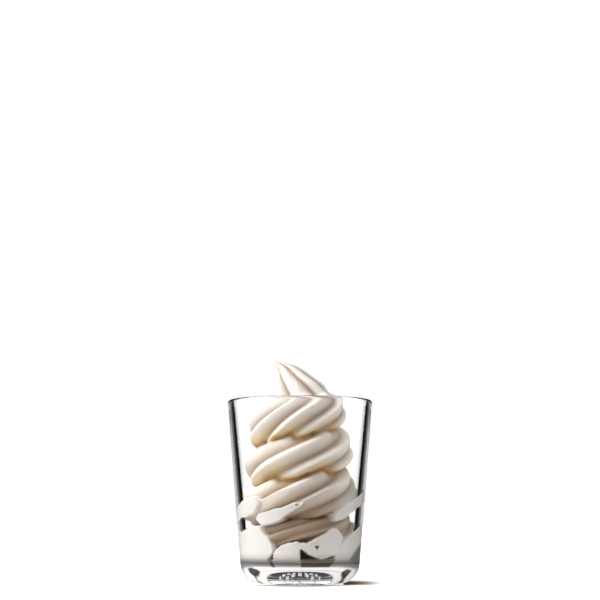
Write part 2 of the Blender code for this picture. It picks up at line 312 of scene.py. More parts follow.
def rope_depth(x, y, z):
    """Depth inside the rope: section radius at that angle less the way to the rope's centre.

    The section is a circle less FLUTE_DEPTH * (1 - crest), where crest is the flute's height
    at that angle. The flutes turn once round the section in each turn of the rope, ahead or
    behind by TWIST. The deepest turn counts, and the second deepest is kept too, because the
    two are equal along a crease.
    """
    turns = np.arctan2(y, x) / TAU
    r = np.hypot(x, y)
    depth = np.full(r.shape, FAR_OUTSIDE)
    second = depth.copy()
    ridge = np.zeros(r.shape)
    first, last = ROPE[0, TURNS], ROPE[-1, TURNS]
    for k in range(math.floor(first), math.ceil(last) + 1):
        t = turns + k
        if t.max() < first or t.min() > last:
            continue
        on_rope = np.clip(t, first, last)
        height = smooth_table(on_rope, ROPE, HEIGHT)
        section = smooth_table(on_rope, ROPE, SECTION)
        centre = np.maximum(smooth_table(on_rope, ROPE, REACH) - section, 0.0)
        angle = np.arctan2(z - height, r - centre)
        past_end = np.abs(t - on_rope) * TAU * ROPE_END_SPREAD
        distance = np.sqrt((r - centre) ** 2 + (z - height) ** 2 + past_end ** 2)
        twist = on_rope - FRONT_TURN + smooth_table(on_rope, TWIST, 1)
        crest = flute(FLUTES * (twist - (angle - CREST_START) / TAU))
        inside = section - FLUTE_DEPTH * section / FULL_SECTION * (1.0 - crest) - distance
        second = np.where(inside > depth, depth, np.maximum(second, inside))
        ridge = np.where(inside > depth, crest, ridge)
        depth = np.maximum(depth, inside)
    near = np.clip(1.0 - (depth - second) / PINCH_WIDTH, 0.0, 1.0)
    return depth - PINCH * near * near, second, ridge


print(FLUTES, "flutes,", FLUTE_DEPTH, "mm deep; creases drawn in by up to", PINCH, "mm")

# %% [markdown]
# ## The peak
# When the nozzle is lifted off, the last of the rope is drawn out and falls over to one side.
# Level slices describe that best: each is a fluted round with its own width and middle, and
# the flutes turn a little from slice to slice.

# %% The peak, slice by slice
TIP_Z = 116.4
# height, half width, and how far the slice's middle stands off the axis
PEAK = np.array([
    (84.0, 14.0, 0.0),
    (90.0, 16.6, 1.4),
    (95.0, 16.4, 2.0),
    (100.4, 14.2, 0.9),
    (104.0, 12.7, -0.2),
    (107.3, 10.3, -2.2),
    (111.5, 7.5, -4.8),
    (113.6, 6.0, -6.8),
    (114.9, 4.5, -9.2),
    (115.7, 2.7, -11.5),
    (116.4, 0.0, -13.8),
])
PEAK_Z, PEAK_HALF, PEAK_MIDDLE = PEAK.T
PEAK_FLUTE = 0.18
PEAK_CREST = math.radians(239.0)
PEAK_CREST_Z = 104.0
PEAK_TWIST = math.radians(-2.6)


def peak_depth(x, y, z):
    """Half width of the slice, less the flute at that angle, less the way to its middle."""
    half = np.interp(z, PEAK_Z, PEAK_HALF)
    middle = np.interp(z, PEAK_Z, PEAK_MIDDLE)
    angle = np.arctan2(y, x - middle)
    crest = flute(FLUTES * (angle - PEAK_CREST - PEAK_TWIST * (z - PEAK_CREST_Z)) / TAU)
    depth = half * (1.0 - PEAK_FLUTE * (1.0 - crest)) - np.hypot(x - middle, y)
    return np.where(z < PEAK_Z[0], FAR_OUTSIDE, depth), crest


print("peak from", PEAK_Z[0], "to", TIP_Z, "mm, leaning", -PEAK_MIDDLE[-1], "mm to the left")

# %% [markdown]
# ## Ragged edges
# Ice cream tears as it is pressed and drawn out, so no edge of it is a clean line. Noise on a
# lattice gives that: random values at the corners of three sizes of cells, eased in between.
# A whole number of cells goes round the glass, so there is no seam at the back.

# %% Shares, easing and lattice noise
MM_PER_DEGREE = 0.497
NOISE_SEED = 7
NOISE_ROWS = 140
# size of a cell in mm, and its strength
NOISE_CELLS = ((4.2, 0.5), (1.9, 0.45), (0.8, 0.4))


def part_of(way, width):
    """How much of a width a way has gone: way / width, held between 0 and 1."""
    return np.clip(way / width, 0.0, 1.0)


def eased(s):
    """From 0 to 1 with a level start and end: s s (3 - 2 s)."""
    return s * s * (3.0 - 2.0 * s)


def from_front(angle):
    """Degrees from the front, -180 to 180, positive on the right."""
    return (np.degrees(angle) + 270.0) % 360.0 - 180.0


def ragged(degrees, z):
    """Uneven edge, about -1 to 1: lattice noise in three sizes, which closes round the glass."""
    random = np.random.default_rng(NOISE_SEED)
    total = np.zeros(z.shape)
    for cell, strength in NOISE_CELLS:
        columns = int(360.0 * MM_PER_DEGREE / cell)
        lattice = random.uniform(-1.0, 1.0, (NOISE_ROWS, columns))
        u = (degrees + 180.0) / 360.0 * columns
        v = z / cell
        i = np.floor(u).astype(int) % columns
        j = np.floor(v).astype(int) % (NOISE_ROWS - 1)
        s = eased(u - np.floor(u))
        t = eased(v - np.floor(v))
        low = lattice[j, i] * (1.0 - s) + lattice[j, (i + 1) % columns] * s
        high = lattice[j + 1, i] * (1.0 - s) + lattice[j + 1, (i + 1) % columns] * s
        total += strength * (low * (1.0 - t) + high * t)
    return total


print("noise in cells of", ", ".join(str(cell) for cell, _ in NOISE_CELLS), "mm")

# %% [markdown]
# ## The outermost surface
# From a middle on each level, rays go out all round, and the last place on a ray that is still
# inside rope or peak is a point of the swirl. The middle follows the peak as it leans. A remesh
# of overlapping parts would do it too, but it would wear down the sharp grooves. Rows are
# closest low down, behind the glass, and columns are closest in front and at the sides.

# %% The grid of rays
FINE_ROWS = 147
FINE_TOP = 50.0
PLAIN_ROWS = 138
FRONT_COLUMNS = 236
SIDE_DEGREES = 96.0
BACK_COLUMNS = 84
AIR_BELOW = 0.15
BELOW_TIP = 0.2
LEAN_START = 80.0
LEAN_END = 96.0


def ray_grid():
    """Angle of each column, height of each point, and each row's middle, which broadcast."""
    fine = np.linspace(GLASS_FLOOR + AIR_BELOW, FINE_TOP, FINE_ROWS, endpoint=False)
    levels = np.concatenate([fine, np.linspace(FINE_TOP, TIP_Z - BELOW_TIP, PLAIN_ROWS)])
    front = np.linspace(-SIDE_DEGREES, SIDE_DEGREES, FRONT_COLUMNS, endpoint=False)
    back = np.linspace(SIDE_DEGREES, 360.0 - SIDE_DEGREES, BACK_COLUMNS, endpoint=False)
    angle = np.radians(np.concatenate([front, back]) - 90.0)
    lean = part_of(levels - LEAN_START, LEAN_END - LEAN_START)
    middle = np.interp(levels, PEAK_Z, PEAK_MIDDLE) * eased(lean)
    height = np.repeat(levels.reshape(-1, 1), angle.size, axis=1)
    return angle, height, middle.reshape(-1, 1)


angle, height, middle = ray_grid()
print("rays:", height.shape[0], "levels of", height.shape[1])

# %% Find the last point inside, on every ray
RADIAL_REACH = 34.0
RADIAL_STEPS = 40
HALVINGS = 9
PEAK_BLEND = 2.5


def blend_max(a, b, width):
    """The larger of two fields, rounded over a band where they meet."""
    h = np.clip(0.5 + 0.5 * (a - b) / width, 0.0, 1.0)
    return b + (a - b) * h + width * h * (1.0 - h)


def depths(r):
    """Depth at the way r along the rays: in both forms together, and then in each of them."""
    x = middle + r * np.cos(angle)
    y = r * np.sin(angle)
    rope, second, ridge = rope_depth(x, y, height)
    peak, peak_ridge = peak_depth(x, y, height)
    return blend_max(rope, peak, PEAK_BLEND), rope, second, ridge, peak, peak_ridge


def outermost():
    """The last even step that is inside, and then the halves of the step beyond it."""
    low = np.zeros(height.shape)
    steps = np.linspace(0.0, RADIAL_REACH, RADIAL_STEPS)
    for step in steps:
        low = np.where(depths(np.full(height.shape, step))[0] > 0.0, step, low)
    high = low + steps[1]
    for _ in range(HALVINGS):
        trial = (low + high) / 2.0
        inside = depths(trial)[0] > 0.0
        low = np.where(inside, trial, low)
        high = np.where(inside, high, trial)
    return low


reach = outermost()
print("reach of the rays", round(float(reach.min()), 1), "to", round(float(reach.max()), 1), "mm")

# %% Crinkle the peak, smooth it all a little, and keep masks of creases and ridges
CRINKLE_FROM = 99.0
CRINKLE_FADE = 4.0
CRINKLE_DEPTH = 0.35
CREASE_WIDTH = 12.0
SMOOTHINGS = 2


def smoothed(values):
    """Each point becomes a quarter, a half and a quarter of its row's and then its column's three."""
    for _ in range(SMOOTHINGS):
        values = (np.roll(values, 1, axis=1) + 2.0 * values + np.roll(values, -1, axis=1)) / 4.0
        values[1:-1] = (values[:-2] + 2.0 * values[1:-1] + values[2:]) / 4.0
    return values


_, rope, second, ridge, peak, peak_ridge = depths(reach)
core = np.where(height < FILL_TOP, FILL_RADIUS, np.where(height < CORE_TOP, CORE_RADIUS, 0.0))
drawn_out = part_of(height - CRINKLE_FROM, CRINKLE_FADE) * part_of(TIP_Z - height, CRINKLE_FADE)
# any start does for the noise on the peak, so its degrees are counted from the left
crinkle = CRINKLE_DEPTH * drawn_out * ragged(np.degrees(angle) % 360.0 - 180.0, height)
reach = smoothed(np.maximum(reach, core) - crinkle)
# crease and ridge masks carry painted shade: golden and deep brown near creases, taupe off the ridges
masks = {
    "crease": smoothed(np.clip(1.0 - (rope - second) / CREASE_WIDTH, 0.0, 1.0) * (rope >= peak)),
    "ridge": smoothed(np.where(rope >= peak, ridge, peak_ridge)),
}
print("crinkles up to", round(float(np.abs(crinkle).max()), 2), "mm deep on the peak")


# %% Put the points in place, and find which of them face down
def facing_down(x, y, z):
    """How far each point of the grid faces down, from the cross product of its two edges."""
    points = np.stack([x, y, z], axis=-1)
    along = np.roll(points, -1, axis=1) - np.roll(points, 1, axis=1)
    up = np.gradient(points, axis=0)
    normal = np.cross(along, up)
    normal /= np.linalg.norm(normal, axis=-1, keepdims=True) + 1e-9
    return np.clip(-normal[..., 2], 0.0, 1.0)


x = middle + reach * np.cos(angle)
y = reach * np.sin(angle)
z = height
# how far a point faces down sets the painted golden shade under the creases
masks["under"] = facing_down(x, y, z)
print(round(100.0 * float((masks["under"] > 0.5).mean())), "% of the points face down")

# %% [markdown]
# ## Where the swirl is pressed on the glass
# Low in the glass the rope is wider than the space it has, so it is pressed flat against the
# wall. Seen from outside, those flats are pale lobes with ragged edges, and between them there
# are grooves and dark windows where the ice cream keeps off the glass. The lobes are laid out on
# the unrolled wall, in degrees from the front and mm of height: those that the front shows as
# outlines, and those of the sides and the back, which are a guess, as strokes with round ends.
# They are real steps in the surface, because glass makes every gap behind it show.

# %% Outlines of the flats and windows that the front shows
# corners as degrees from the front and height in mm
FLATS = (
    ((-96, 36), (-83, 39), (-75, 41), (-60, 44), (-52, 44.5), (-46, 44.5), (-43, 43), (-43, 41),
     (-48, 38), (-52, 36), (-59, 35), (-65, 34), (-70, 34.5), (-79, 32.5), (-90, 33)),
    ((-48, 33.5), (-40, 30), (-30, 31), (-21, 32.5), (-15, 35), (-11, 36.5), (-6, 38), (-3, 39),
     (1, 40), (3, 41.5), (-5, 41.5), (-19, 39), (-32, 37.5), (-44, 36)),
    ((35, 33), (40, 37.5), (46, 39.5), (52, 41.5), (60, 43.5), (69, 45.5), (80, 47.5), (96, 49.5), (104, 49),
     (106, 45), (96, 43), (80, 41.5), (66, 39), (56, 36.5), (51, 35), (45, 33), (38, 32.5)),
    ((-104, 29), (-81, 28), (-74, 27), (-64, 28.5), (-54, 29.5), (-45, 30), (-42, 28), (-37, 25),
     (-33, 23.5), (-30, 21), (-28, 18.5), (-29, 17), (-31, 15), (-34, 13), (-37, 11), (-38, 8), (-104, 8)),
    ((-29, 8), (-28, 16.5), (-25, 18.5), (-20, 20), (-14, 21), (-8, 21.5), (-3, 22), (2, 21),
     (8, 21), (2, 18.5), (0, 18.5), (0, 15), (1, 12), (0, 8)),
    ((0, 21.5), (8, 21), (14, 22.5), (21, 24.5), (27, 26), (32, 28), (35, 28.5), (39, 28.5),
     (42, 27), (45, 26), (47, 24), (47, 22.5), (42, 18.5), (39, 16.5), (37, 15), (33, 15),
     (29, 14), (24, 13.5), (19, 14), (15, 15), (10, 15.5), (6, 17), (2, 18.5), (0, 18.5)),
    ((104, 30.5), (87, 31), (71, 28.5), (64, 27), (58, 25.5), (52, 23.5), (47, 21.5), (42, 19),
     (39, 16.5), (39, 14), (38, 11), (38, 8), (104, 8)),
)
# the wide window low in front, a small one to its left, and a hole above the wide one
WINDOWS = (
    ((0, 8), (0, 18.5), (3, 18), (6, 16.5), (10, 15.5), (15, 14.5), (20, 13.5), (26, 13.5), (33, 15),
     (38, 15), (39, 12), (38, 8)),
    ((-37, 8), (-36, 13), (-32, 15), (-29, 16.5), (-29, 13), (-29, 8)),
    ((15, 20), (20, 20.5), (18, 18)),
)


def outline_depth(degrees, z, outlines):
    """Way to the nearest edge of an outline, in mm, positive inside by counting crossings."""
    depth = np.full(degrees.shape, FAR_OUTSIDE)
    u = degrees * MM_PER_DEGREE
    for outline in outlines:
        corners = np.array(outline) * (MM_PER_DEGREE, 1.0)
        away = np.full(degrees.shape, -FAR_OUTSIDE)
        inside = np.zeros(degrees.shape, dtype=bool)
        for (u0, z0), (u1, z1) in zip(corners, np.roll(corners, -1, axis=0)):
            du, dz = u1 - u0, z1 - z0
            s = np.clip(((u - u0) * du + (z - z0) * dz) / (du * du + dz * dz), 0.0, 1.0)
            away = np.minimum(away, np.hypot(u - u0 - s * du, z - z0 - s * dz))
            crosses = (z0 > z) != (z1 > z)
            inside ^= crosses & (u < u0 + du * (z - z0) / (dz if dz else 1.0))
        depth = np.maximum(depth, np.where(inside, away, -away))
    return depth


print(len(FLATS), "flats and", len(WINDOWS), "windows outlined in front")

# %% Strokes at the sides and the back
# one round end in degrees and mm, with its radius in mm, and then the other
PRESSED = (
    (108, 42.0, 3.4, 150, 49.0, 3.6),
    (104, 20.0, 8.5, 132, 22.0, 9.0),
    (166, 34.0, 3.6, 205, 40.0, 3.0),
    (158, 18.0, 7.0, 186, 20.5, 7.5),
    (214, 24.0, 5.0, 246, 30.0, 4.6),
    (222, 13.0, 5.0, 262, 12.0, 6.0),
    (222, 43.0, 3.2, 238, 46.0, 3.0),
)
HOLLOWS = (
    (-3.6, 40.6, 0.5, -2.4, 40.7, 0.5),
    (146, 14.0, 2.2, 150, 25.0, 2.6),
    (204, 14.0, 3.0, 206, 26.0, 2.2),
)


def stroke_depth(degrees, z, strokes):
    """Depth inside the nearest stroke: its radius there less the way to its middle line."""
    depth = np.full(degrees.shape, FAR_OUTSIDE)
    for a0, z0, r0, a1, z1, r1 in strokes:
        for whole in (-360.0, 0.0, 360.0):
            u = (degrees - a0 + whole) * MM_PER_DEGREE
            du = (a1 - a0) * MM_PER_DEGREE
            dz = z1 - z0
            s = np.clip((u * du + (z - z0) * dz) / (du * du + dz * dz), 0.0, 1.0)
            away = np.hypot(u - s * du, z - z0 - s * dz)
            depth = np.maximum(depth, r0 + (r1 - r0) * s - away)
    return depth


print(len(PRESSED), "strokes and", len(HOLLOWS), "hollows")

# %% How far each point is pressed
SHOULDER = 0.6
# how far the ragged edge moves each kind of outline, in mm
FLAT_RAGGED = 0.45
HOLLOW_RAGGED = 0.2
WINDOW_RAGGED = 0.25
FOOT_RAGGED = 0.4
# the swirl touches all round up to the first height, and round the back up to the second
FOOT_CONTACT = 12.9
BACK_CONTACT = 30.0
BACK_CONTACT_FADE = 1.0
BACK_DEGREES = 100.0
BACK_FADE = 3.0


def pressed_share(degrees, z, window, edge):
    """0 off the glass and 1 on it: 1 + depth inside the flats / SHOULDER, eased."""
    flats = np.maximum(outline_depth(degrees, z, FLATS), stroke_depth(degrees, z, PRESSED))
    depth = np.minimum(flats + FLAT_RAGGED * edge, -stroke_depth(degrees, z, HOLLOWS) + HOLLOW_RAGGED * edge)
    depth = np.minimum(depth, -window)
    depth = np.maximum(depth, FOOT_CONTACT - z + FOOT_RAGGED * edge)
    pressed = eased(np.clip(1.0 + depth / SHOULDER, 0.0, 1.0))
    behind = part_of(np.abs(degrees) - BACK_DEGREES, BACK_FADE) * part_of(BACK_CONTACT - z, BACK_CONTACT_FADE)
    return np.where(z < CORE_TOP, np.maximum(pressed, behind), 0.0)


print("pressed all round up to", FOOT_CONTACT, "mm, and at the back up to", BACK_CONTACT, "mm")

# %% [markdown]
# ## Painted shade near the floor of the glass
# Down there hardly any light comes in, which leaves a grey band over the base and a dark corner
# at the right. The lamps and the floor that stand here don't give that by themselves, so it is
# painted shade: how dark each point is gets worked out from its height and angle and kept as a
# mask for its colour.

# %% How dark each point is painted near the floor
# height, and how dark the painted shade is there
FOOT_SHADE = np.array([(9.7, 0.0), (10.2, 0.7), (11.2, 0.88), (12.2, 0.62), (13.4, 0.28), (16.5, 0.0)])
FOOT_START = FOOT_SHADE[0, 0]
FOOT_START_FADE = 0.3
# below this line on the right, painted shadow lies on the flat: degrees from the front, and height
CORNER_LINE = np.array([(42.0, 8.0), (54.0, 12.5), (60.5, 15.1), (69.0, 18.4), (79.0, 21.2), (98.0, 25.0)])
CORNER_DARK = 0.72
CORNER_SOFT = 3.0
CORNER_END = CORNER_LINE[-1, 0]
CORNER_END_FADE = 12.0
# painted shade on the sides towards the back, below a height: from and to these degrees
FAR_SIDE_START = 96.0
FAR_SIDE_END = 140.0
FAR_SIDE_FADE = 4.0
FAR_SIDE_TOP = 12.0
FAR_SIDE_DARK = 0.6
# painted dark spots low down at the sides: degrees from the front, radius, and half of each width
DARK_SPOTS = ((-77.0, 19.0, 13.0, 2.6), (80.0, 18.6, 10.0, 2.3))
SPOT_EDGE = 0.15
SPOT_TOP = FOOT_SHADE[2, 0]


def straight_table(x, table, outside=None):
    """Straight lines between the rows of a table; past its ends the end value, or outside."""
    return np.interp(x, table[:, 0], table[:, 1], left=outside, right=outside)


def dark_spot(degrees, radius):
    """How far inside a dark spot, 0 to 1: an ellipse over angle and radius, with a steep edge."""
    share = np.zeros(np.broadcast(degrees, radius).shape)
    for middle_degrees, middle_radius, wide, deep in DARK_SPOTS:
        away = np.hypot((degrees - middle_degrees) / wide, (radius - middle_radius) / deep)
        share = np.maximum(share, part_of(1.0 - away, SPOT_EDGE))
    return share


def foot_shade(degrees, z, limit, low_window):
    """Painted shade: the darkest of band, corner, far side, foot of a window and dark spot, 0 to 1."""
    line = straight_table(degrees, CORNER_LINE, outside=0.0)
    corner = CORNER_DARK * part_of(line - z, CORNER_SOFT) * part_of(CORNER_END - degrees, CORNER_END_FADE)
    aside = np.abs(degrees)
    far_side = part_of(aside - FAR_SIDE_START, FAR_SIDE_FADE) * part_of(FAR_SIDE_END - aside, FAR_SIDE_FADE)
    shade = np.maximum(straight_table(z, FOOT_SHADE), corner)
    shade = np.maximum(shade, FAR_SIDE_DARK * far_side * (z < FAR_SIDE_TOP))
    shade = np.maximum(shade, low_window) * part_of(z - FOOT_START, FOOT_START_FADE)
    return np.maximum(shade, dark_spot(degrees, limit) * (z < SPOT_TOP))


print("shade from", FOOT_START, "to", FOOT_SHADE[-1, 0], "mm, and", len(DARK_SPOTS), "dark spots")

# %% [markdown]
# ## Press it
# The surface moves straight out or in from the axis. Where it is pressed it lies a tenth of a
# millimetre inside the glass, so that no thin film of air mirrors the light there. Elsewhere it
# keeps nearly two millimetres off the wall, and in the windows it steps back much further.

# %% Move the points, and keep the masks
INTO_WALL = 0.1
STAND_OFF = 1.8
WINDOW_DEPTH = 6.0
WINDOW_SIDE = 0.8
WINDOW_FOOT = 1.2
WINDOW_FOOT_FADE = 0.4
LEAST_RADIUS = 1.0
# height, and how much painted shade darkens the ice cream there
LOW_SHADE = np.array([(20.0, 0.95), (32.0, 0.75), (52.0, 0.0)])


def wall_limit(z):
    """The inner wall, and the elliptic curve in to the floor, moved INTO_WALL into the glass."""
    drop = np.clip((CURVE_TOP - z) / (CURVE_HEIGHT + INTO_WALL), 0.0, 1.0)
    curve = CURVE_MIDDLE + (CURVE_WIDTH + INTO_WALL) * np.sqrt(1.0 - drop * drop)
    return np.where(z < CURVE_TOP, curve, inner_radius(z) + INTO_WALL)


def press_on_glass(x, y, z):
    """Radius = free + (limit - free) * pressed, with free held STAND_OFF inside the limit.

    Returns the new x and y, how far each point is pressed, how deep in a window it lies, which
    is painted as shade, and how much painted shade it gets near the floor of the glass, each 0 to 1.
    """
    r = np.hypot(x, y)
    degrees = from_front(np.arctan2(y, x))
    edge = ragged(degrees, z)
    window = outline_depth(degrees, z, WINDOWS) + WINDOW_RAGGED * edge
    hidden = part_of(window, WINDOW_SIDE)
    limit = wall_limit(z)
    free = np.minimum(r, limit - STAND_OFF - WINDOW_DEPTH * hidden)
    pressed = pressed_share(degrees, z, window, edge)
    scale = np.where(z < CORE_TOP, (free + (limit - free) * pressed) / np.maximum(r, LEAST_RADIUS), 1.0)
    above_foot = part_of(z - FOOT_CONTACT + WINDOW_FOOT, WINDOW_FOOT_FADE)
    foot = foot_shade(degrees, z, limit, hidden * (1.0 - above_foot))
    return x * scale, y * scale, pressed, hidden * above_foot, foot


x, y, masks["pressed"], masks["window"], masks["foot"] = press_on_glass(x, y, z)
# painted shade on the ice cream low in the glass
masks["low_down"] = straight_table(z, LOW_SHADE)
print("swirl reaches", round(float(np.hypot(x, y).max()), 2), "mm from the axis")

# %% [markdown]
# ## The underside
# The base is a lens, so from the front it is filled by what lies under the ice cream. Where
# that touches the floor of the glass, its colour shows, greyed by painted shade, with painted
# brown shade along the inner edge of the broad ring. Where thin air lies between, the glass
# mirrors instead and looks dark. A broad ring touches near the edge, and nearer the middle a
# small ring and rings of dots do. A flat disc would show as one pale patch.

# %% Rings from the middle outwards
# inner and outer radius between which a ring touches, and its number of dots (0 for a full ring)
TOUCHING = ((1.8, 2.4, 0), (4.5, 5.0, 14), (6.6, 7.2, 16), (8.6, 9.0, 24), (13.2, 17.5, 0))
TOUCH_EDGE = 0.15
FIRST_RADIUS = 0.4
ROW_STEP = 0.75
DOT_SHARE = -0.2
RING_AREA = 12.0
# how far painted shade greys the underside inside the ring area, and beyond it
RING_GREY = 0.45
FLOOR_GREY = 0.25
# radius, and how much painted brown shade lies along the edge of the broad ring there
RIM_SHADE = np.array([(12.9, 0.0), (13.2, 0.85), (13.45, 0.6), (13.7, 0.1), (14.0, 0.0)])


def underside(angle):
    """Rings from the middle outwards, down on the floor where they touch, and over it elsewhere.

    A ring of n dots touches where cos(n * angle) is over DOT_SHARE. Returns x, y, z, and how
    much painted shade greys and browns each point.
    """
    rows = [(FIRST_RADIUS, np.zeros(angle.shape))]
    for inner, outer, dots in TOUCHING:
        touches = (np.cos(dots * angle) > DOT_SHARE).astype(float)
        rows.append((inner - TOUCH_EDGE, 0.0 * touches))
        for radius in np.linspace(inner, outer, 2 + int((outer - inner) / ROW_STEP)):
            rows.append((radius, touches))
        rows.append((outer + TOUCH_EDGE, 0.0 * touches))
    radii = np.array([radius for radius, _ in rows]).reshape(-1, 1)
    down = np.stack([share for _, share in rows])
    ring_grey = np.where(radii < RING_AREA, RING_GREY, FLOOR_GREY)
    grey = np.maximum(dark_spot(from_front(angle), radii), ring_grey)
    z = GLASS_FLOOR + AIR_BELOW - (AIR_BELOW + INTO_WALL) * down
    return radii * np.cos(angle), radii * np.sin(angle), z, grey, straight_table(radii, RIM_SHADE)


under_x, under_y, under_z, under_shade, under_rim_shade = underside(np.arctan2(y[0], x[0]))
x = np.concatenate([under_x, x])
y = np.concatenate([under_y, y])
z = np.concatenate([under_z, z])
# the underside's painted shade goes into the foot and window masks
below = {"pressed": 1.0, "foot": under_shade, "window": under_rim_shade}
for mask_name, values in masks.items():
    masks[mask_name] = np.concatenate([np.broadcast_to(below.get(mask_name, 0.0), under_x.shape), values])
print("underside of", under_x.shape[0], "rings")

# %% Make the mesh, and keep the masks for the material
cream_points = np.stack([x, y, z], axis=-1)
lowest, tip = (0, 0, GLASS_FLOOR + AIR_BELOW), (PEAK_MIDDLE[-1], 0, TIP_Z)
cream_mesh = grid_mesh("swirl_cream", cream_points, lowest, tip)
for mask_name, values in masks.items():
    attribute = cream_mesh.attributes.new(mask_name, "FLOAT", "POINT")
    attribute.data.foreach_set("value", np.concatenate([values.ravel(), [0.0, 0.0]]).astype(np.float32))
add_piece("swirl_cream", cream_mesh, "soft_serve")

# %% [markdown]
# ## Materials, from nodes
# A material is a tree of nodes. Small helpers add and link a node in one line, so that what a
# material does can be read off its cell.

# %% Small helpers for node trees
def node(tree, kind, inputs=None, **settings):
    """Add a node, set its properties and sockets, and link the sockets that are given as outputs."""
    made = tree.nodes.new(kind)
    for key, value in settings.items():
        setattr(made, key, value)
    for key, value in (inputs or {}).items():
        if isinstance(value, bpy.types.NodeSocket):
            tree.links.new(value, made.inputs[key])
        else:
            made.inputs[key].default_value = value
    return made


def math_node(tree, operation, a, b=0.0, clamp=False):
    """One Math node's output."""
    return node(tree, "ShaderNodeMath", {0: a, 1: b}, operation=operation, use_clamp=clamp).outputs[0]


def centred(tree, value, scale=0.5):
    """value * scale + 0.5, which brings values about zero into a ramp's reach."""
    return node(tree, "ShaderNodeMath", {0: value, 1: scale, 2: 0.5}, operation="MULTIPLY_ADD").outputs[0]


def bounced(tree, path, kind):
    """1 for rays with a bounce of this kind behind them, such as "Diffuse", and 0 for others."""
    return math_node(tree, "GREATER_THAN", path.outputs[kind + " Depth"], 0.5)


def blend(tree, share, a, b, how="MIX"):
    """Mix two colours by a share."""
    sockets = {"Factor": share, "A": a, "B": b}
    return node(tree, "ShaderNodeMix", sockets, data_type="RGBA", blend_type=how).outputs["Result"]


def ramp_node(tree, value, stops, whole=1.0):
    """A colour ramp with its stops as (place, (r, g, b)) or (place, grey), places out of whole."""
    made = node(tree, "ShaderNodeValToRGB", {"Fac": value})
    elements = made.color_ramp.elements
    elements.remove(elements[-1])
    for index, (place, colour) in enumerate(stops):
        element = elements[0] if index == 0 else elements.new(place / whole)
        element.position = place / whole
        rgb = colour if isinstance(colour, tuple) else (colour,) * 3
        element.color = rgb + (1.0,)
    return made.outputs["Color"]


def new_material(name):
    """A material with its Principled node, ready for sockets to be set."""
    material = bpy.data.materials.new(name)
    material.use_nodes = True
    return material, material.node_tree, material.node_tree.nodes["Principled BSDF"]


def set_sockets(shader, values):
    """Set a shader's own sockets from a table of names and values."""
    for key, value in values.items():
        shader.inputs[key].default_value = value


WHITE = (1.0, 1.0, 1.0, 1.0)
print("node helpers ready")

# %% [markdown]
# ## Clear glass
# Polished glass bends and mirrors light and has no colour of its own, so it is all
# transmission, with no roughness. A lamp's light would not find its way through two walls, so
# for rays that look for a lamp the glass is a clear film that takes a little of it.

# %% The glass
LAMPS_THROUGH = (0.93, 0.93, 0.93, 1.0)
glass_material, tree, shader = new_material("clear_glass")
set_sockets(shader, {"Base Color": WHITE, "Roughness": 0.0, "IOR": 1.5, "Transmission Weight": 1.0})
clear = node(tree, "ShaderNodeBsdfTransparent", {"Color": LAMPS_THROUGH})
light_path = node(tree, "ShaderNodeLightPath")
glass_sockets = {0: light_path.outputs["Is Shadow Ray"], 1: shader.outputs[0], 2: clear.outputs[0]}
glass_mix = node(tree, "ShaderNodeMixShader", glass_sockets)
tree.links.new(glass_mix.outputs[0], tree.nodes["Material Output"].inputs["Surface"])
glass_mesh.materials.append(glass_material)
print("clear_glass made")

# %% [markdown]
# ## Soft serve
# The real thing is milk ice full of air: near white, moist but not glossy, and light goes a
# little way in and comes out warmer. In shade its valleys look brownish and its creases golden.
# Lamps give only part of that here, so that shade is painted, from the masks of the swirl's
# own form: ridges stay cream, valleys get taupe painted shade, creases golden and then deep
# brown painted shade, and what stands free gets painted shade low down. What is pressed on the
# glass is an even, nearly neutral white. A fine grain roughens what stands free.

# %% The soft serve's colours
# CREAM and FLAT are the ice cream's own colours; the others are painted shade
CREAM = (0.97, 0.935, 0.88, 1.0)
VALLEY_SHADE = (0.41, 0.305, 0.225, 1.0)
GOLDEN_SHADE = (0.90, 0.68, 0.33, 1.0)
DEEP_SHADE = (0.45, 0.26, 0.08, 1.0)
LOW_DOWN_SHADE = (0.40, 0.29, 0.20, 1.0)
FLAT = (0.90, 0.885, 0.865, 1.0)
FOOT_SHADE_TONE = (0.02, 0.022, 0.03, 1.0)
SHADE = (0.17, 0.125, 0.065, 1.0)
VALLEY_POWER = 1.5
VALLEY_GAIN = 1.1
GOLD_POWER = 1.3
UNDER_GAIN = 3.0
DEEP_POWER = 4.0
DEEP_GAIN = 0.95
cream_material, tree, shader = new_material("soft_serve_cream")
mask = {name: node(tree, "ShaderNodeAttribute", attribute_name=name).outputs["Fac"] for name in masks}
free = math_node(tree, "SUBTRACT", 1.0, mask["pressed"])
off_ridge = math_node(tree, "POWER", math_node(tree, "SUBTRACT", 1.0, mask["ridge"]), VALLEY_POWER)
valley = math_node(tree, "MULTIPLY", off_ridge, VALLEY_GAIN, clamp=True)
faces_down = math_node(tree, "MULTIPLY", mask["under"], UNDER_GAIN, clamp=True)
golden = math_node(tree, "MULTIPLY", math_node(tree, "POWER", mask["crease"], GOLD_POWER), faces_down)
deep = math_node(tree, "MULTIPLY", math_node(tree, "POWER", mask["crease"], DEEP_POWER), DEEP_GAIN)
# painted shade where free: taupe off the ridges, golden under the creases, deep brown in them
colour = CREAM
for share, tone in ((valley, VALLEY_SHADE), (golden, GOLDEN_SHADE), (deep, DEEP_SHADE)):
    colour = blend(tree, math_node(tree, "MULTIPLY", share, free), colour, tone)
# then painted shade low down, near the floor and in the windows; the pressed flats get their own white
for mask_name, tone in (("low_down", LOW_DOWN_SHADE), ("pressed", FLAT), ("foot", FOOT_SHADE_TONE), ("window", SHADE)):
    colour = blend(tree, mask[mask_name], colour, tone)
tree.links.new(colour, shader.inputs["Base Color"])
print("colours from", len(mask), "masks")

